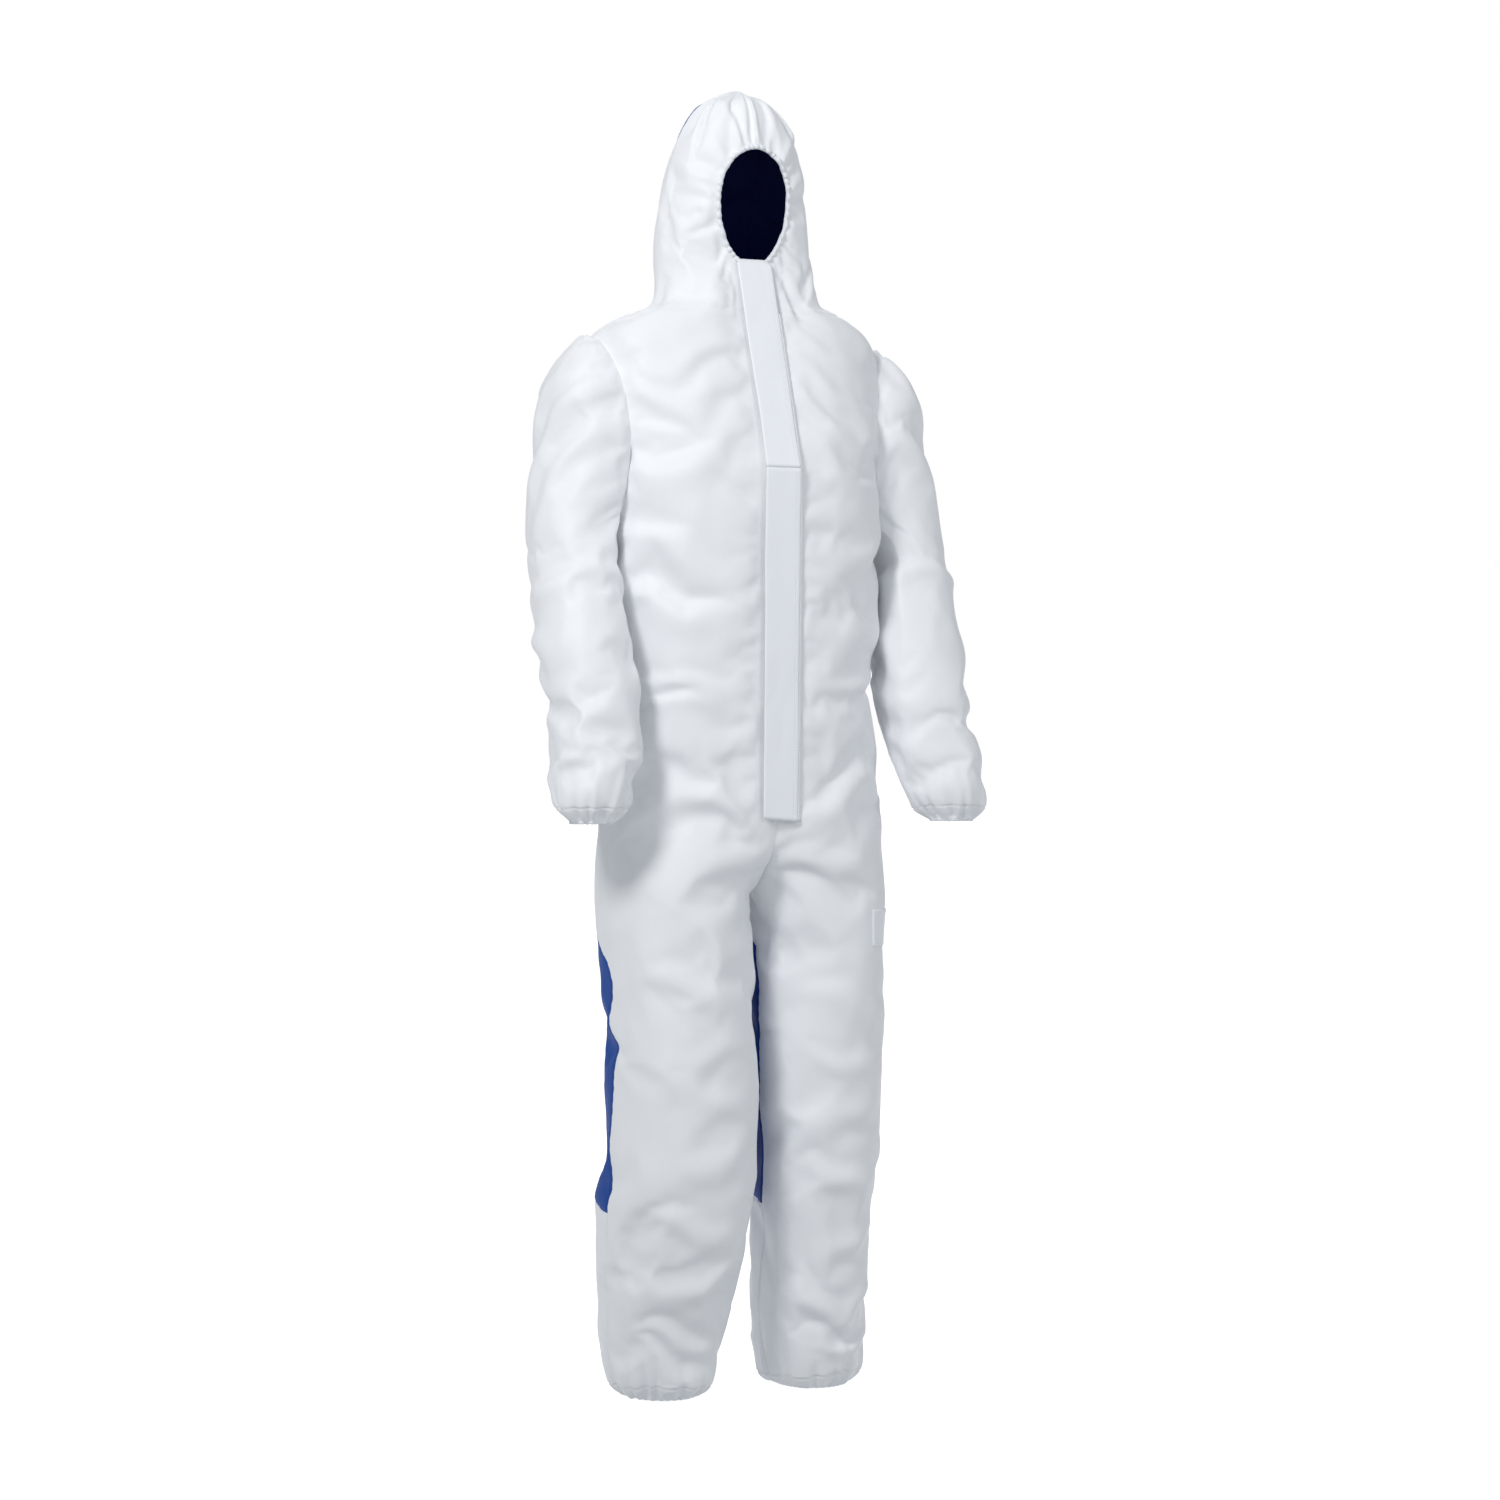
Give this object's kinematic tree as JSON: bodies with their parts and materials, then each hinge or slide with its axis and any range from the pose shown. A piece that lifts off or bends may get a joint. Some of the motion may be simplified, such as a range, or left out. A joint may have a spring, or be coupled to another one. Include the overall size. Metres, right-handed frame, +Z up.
{
  "type": "chemical protective coverall",
  "caption": "Hooded protective suit for chemical work, with an elastic face, wrists and ankles, a blue breathable back panel and a front zip under a storm flap.",
  "frame": {"origin": "the middle of the neck seam, level with where the suit hangs on the wearer's shoulders", "axes": "+Z up along the wearer, the wearer faces -Y, the wearer's right is -X"},
  "size_m": [0.632, 0.2728, 1.7417],
  "materials": {
    "white_cloth": "matt film-laminate",
    "blue_cloth": "matt breathable nonwoven",
    "flap_cloth": "matt film-laminate, doubled",
    "elastic_edge": "gathered over elastic",
    "zip_tape": "woven",
    "zip_teeth": "moulded nylon",
    "zip_metal": "white painted"
  },
  "bodies": {
    "torso": {"right_front_panel": "white_cloth", "left_front_panel": "white_cloth", "back_panel": "blue_cloth", "waist_elastic": "elastic_edge", "right_hip_front": "white_cloth", "right_hip_back": "blue_cloth", "left_hip_front": "white_cloth", "left_hip_back": "blue_cloth", "zip_tape_right": "zip_tape", "zip_tape_left": "zip_tape", "zip_teeth_right": "zip_teeth", "zip_teeth_left": "zip_teeth", "zip_top_stop_right": "zip_metal", "zip_top_stop_left": "zip_metal", "zip_bottom_stop": "zip_metal", "storm_flap_stitched_edge": "flap_cloth"},
    "hood": {"hood_right_side": "white_cloth", "hood_left_side": "white_cloth", "hood_back_panel": "blue_cloth", "face_elastic": "elastic_edge"},
    "flap_lower": {"storm_flap_lower": "flap_cloth"},
    "flap_upper": {"storm_flap_upper": "flap_cloth"},
    "top_slider": {"top_slider": "zip_metal"},
    "top_pull_tab": {"top_pull_tab": "zip_metal"},
    "bottom_slider": {"bottom_slider": "zip_metal"},
    "bottom_pull_tab": {"bottom_pull_tab": "zip_metal"},
    "right_upper_sleeve": {"right_sleeve_head": "white_cloth", "right_upper_sleeve": "white_cloth", "right_elbow": "white_cloth"},
    "right_forearm": {"right_forearm": "white_cloth", "right_cuff": "elastic_edge"},
    "right_thigh": {"right_thigh_front": "white_cloth", "right_thigh_back": "blue_cloth", "right_knee_front": "white_cloth", "right_knee_back": "blue_cloth"},
    "right_shin": {"right_shin_front": "white_cloth", "right_calf_back": "blue_cloth", "right_ankle_back": "white_cloth", "right_ankle_hem": "elastic_edge"},
    "left_upper_sleeve": {"left_sleeve_head": "white_cloth", "left_upper_sleeve": "white_cloth", "left_elbow": "white_cloth"},
    "left_forearm": {"left_forearm": "white_cloth", "left_cuff": "elastic_edge"},
    "left_thigh": {"left_thigh_front": "white_cloth", "left_thigh_back": "blue_cloth", "left_knee_front": "white_cloth", "left_knee_back": "blue_cloth", "left_thigh_patch": "flap_cloth"},
    "left_shin": {"left_shin_front": "white_cloth", "left_calf_back": "blue_cloth", "left_ankle_back": "white_cloth", "left_ankle_hem": "elastic_edge"}
  },
  "joints": [
    {"name": "hood_back", "type": "hinge", "parent": "torso", "child": "hood", "pos_m": [0, 0.082, 0], "axis": [-1, 0, 0], "range_deg": [0, 60]},
    {"name": "right_shoulder", "type": "hinge", "parent": "torso", "child": "right_upper_sleeve", "pos_m": [-0.205, 0.015, -0.08125], "axis": [0, 1, 0], "range_deg": [0, 75], "deforming": ["right_sleeve_head"]},
    {"name": "left_shoulder", "type": "hinge", "parent": "torso", "child": "left_upper_sleeve", "pos_m": [0.205, 0.015, -0.08125], "axis": [0, -1, 0], "range_deg": [0, 75], "deforming": ["left_sleeve_head"]},
    {"name": "right_elbow_bend", "type": "hinge", "parent": "right_upper_sleeve", "child": "right_forearm", "pos_m": [-0.246, -0.045, -0.43289], "axis": [-1, 0, 0], "range_deg": [0, 90], "deforming": ["right_elbow"]},
    {"name": "left_elbow_bend", "type": "hinge", "parent": "left_upper_sleeve", "child": "left_forearm", "pos_m": [0.246, -0.045, -0.43289], "axis": [-1, 0, 0], "range_deg": [0, 90], "deforming": ["left_elbow"]},
    {"name": "right_hip", "type": "hinge", "parent": "torso", "child": "right_thigh", "pos_m": [-0.104, 0.008, -0.64367], "axis": [-1, 0, 0], "range_deg": [0, 60], "deforming": ["right_hip_front", "right_hip_back"]},
    {"name": "left_hip", "type": "hinge", "parent": "torso", "child": "left_thigh", "pos_m": [0.104, 0.008, -0.64367], "axis": [-1, 0, 0], "range_deg": [0, 60], "deforming": ["left_hip_front", "left_hip_back"]},
    {"name": "right_knee_bend", "type": "hinge", "parent": "right_thigh", "child": "right_shin", "pos_m": [-0.105, -0.034, -1.04259], "axis": [1, 0, 0], "range_deg": [0, 65], "deforming": ["right_knee_front", "right_knee_back"]},
    {"name": "left_knee_bend", "type": "hinge", "parent": "left_thigh", "child": "left_shin", "pos_m": [0.105, -0.014, -1.04259], "axis": [1, 0, 0], "range_deg": [0, 65], "deforming": ["left_knee_front", "left_knee_back"]},
    {"name": "flap_lower_open", "type": "hinge", "parent": "torso", "child": "flap_lower", "pos_m": [0.026, -0.13701, -0.44635], "axis": [0, -0.021, 0.9998], "range_deg": [0, 170], "deforming": ["storm_flap_lower"]},
    {"name": "flap_upper_open", "type": "hinge", "parent": "torso", "child": "flap_upper", "pos_m": [0.026, -0.09565, -0.0711], "axis": [0, 0.3113, 0.9503], "range_deg": [0, 170], "deforming": ["storm_flap_upper"]},
    {"name": "top_slider_run", "type": "slide", "parent": "torso", "child": "top_slider", "axis": [0, -0.3113, -0.9503], "range_m": [0, 0.273]},
    {"name": "bottom_slider_run", "type": "slide", "parent": "torso", "child": "bottom_slider", "axis": [0, -0.021, 0.9998], "range_m": [-0.02, 0.42]},
    {"name": "top_tab_lift", "type": "hinge", "parent": "top_slider", "child": "top_pull_tab", "pos_m": [0, -0.04862, 0.05611], "axis": [-1, 0, 0], "range_deg": [0, 140]},
    {"name": "bottom_tab_lift", "type": "hinge", "parent": "bottom_slider", "child": "bottom_pull_tab", "pos_m": [0, -0.12778, -0.64306], "axis": [-1, 0, 0], "range_deg": [0, 140]}
  ],
  "couplings": [
    {"joint": "flap_upper_open", "follows": "flap_lower_open", "ratio": 1}
  ]
}
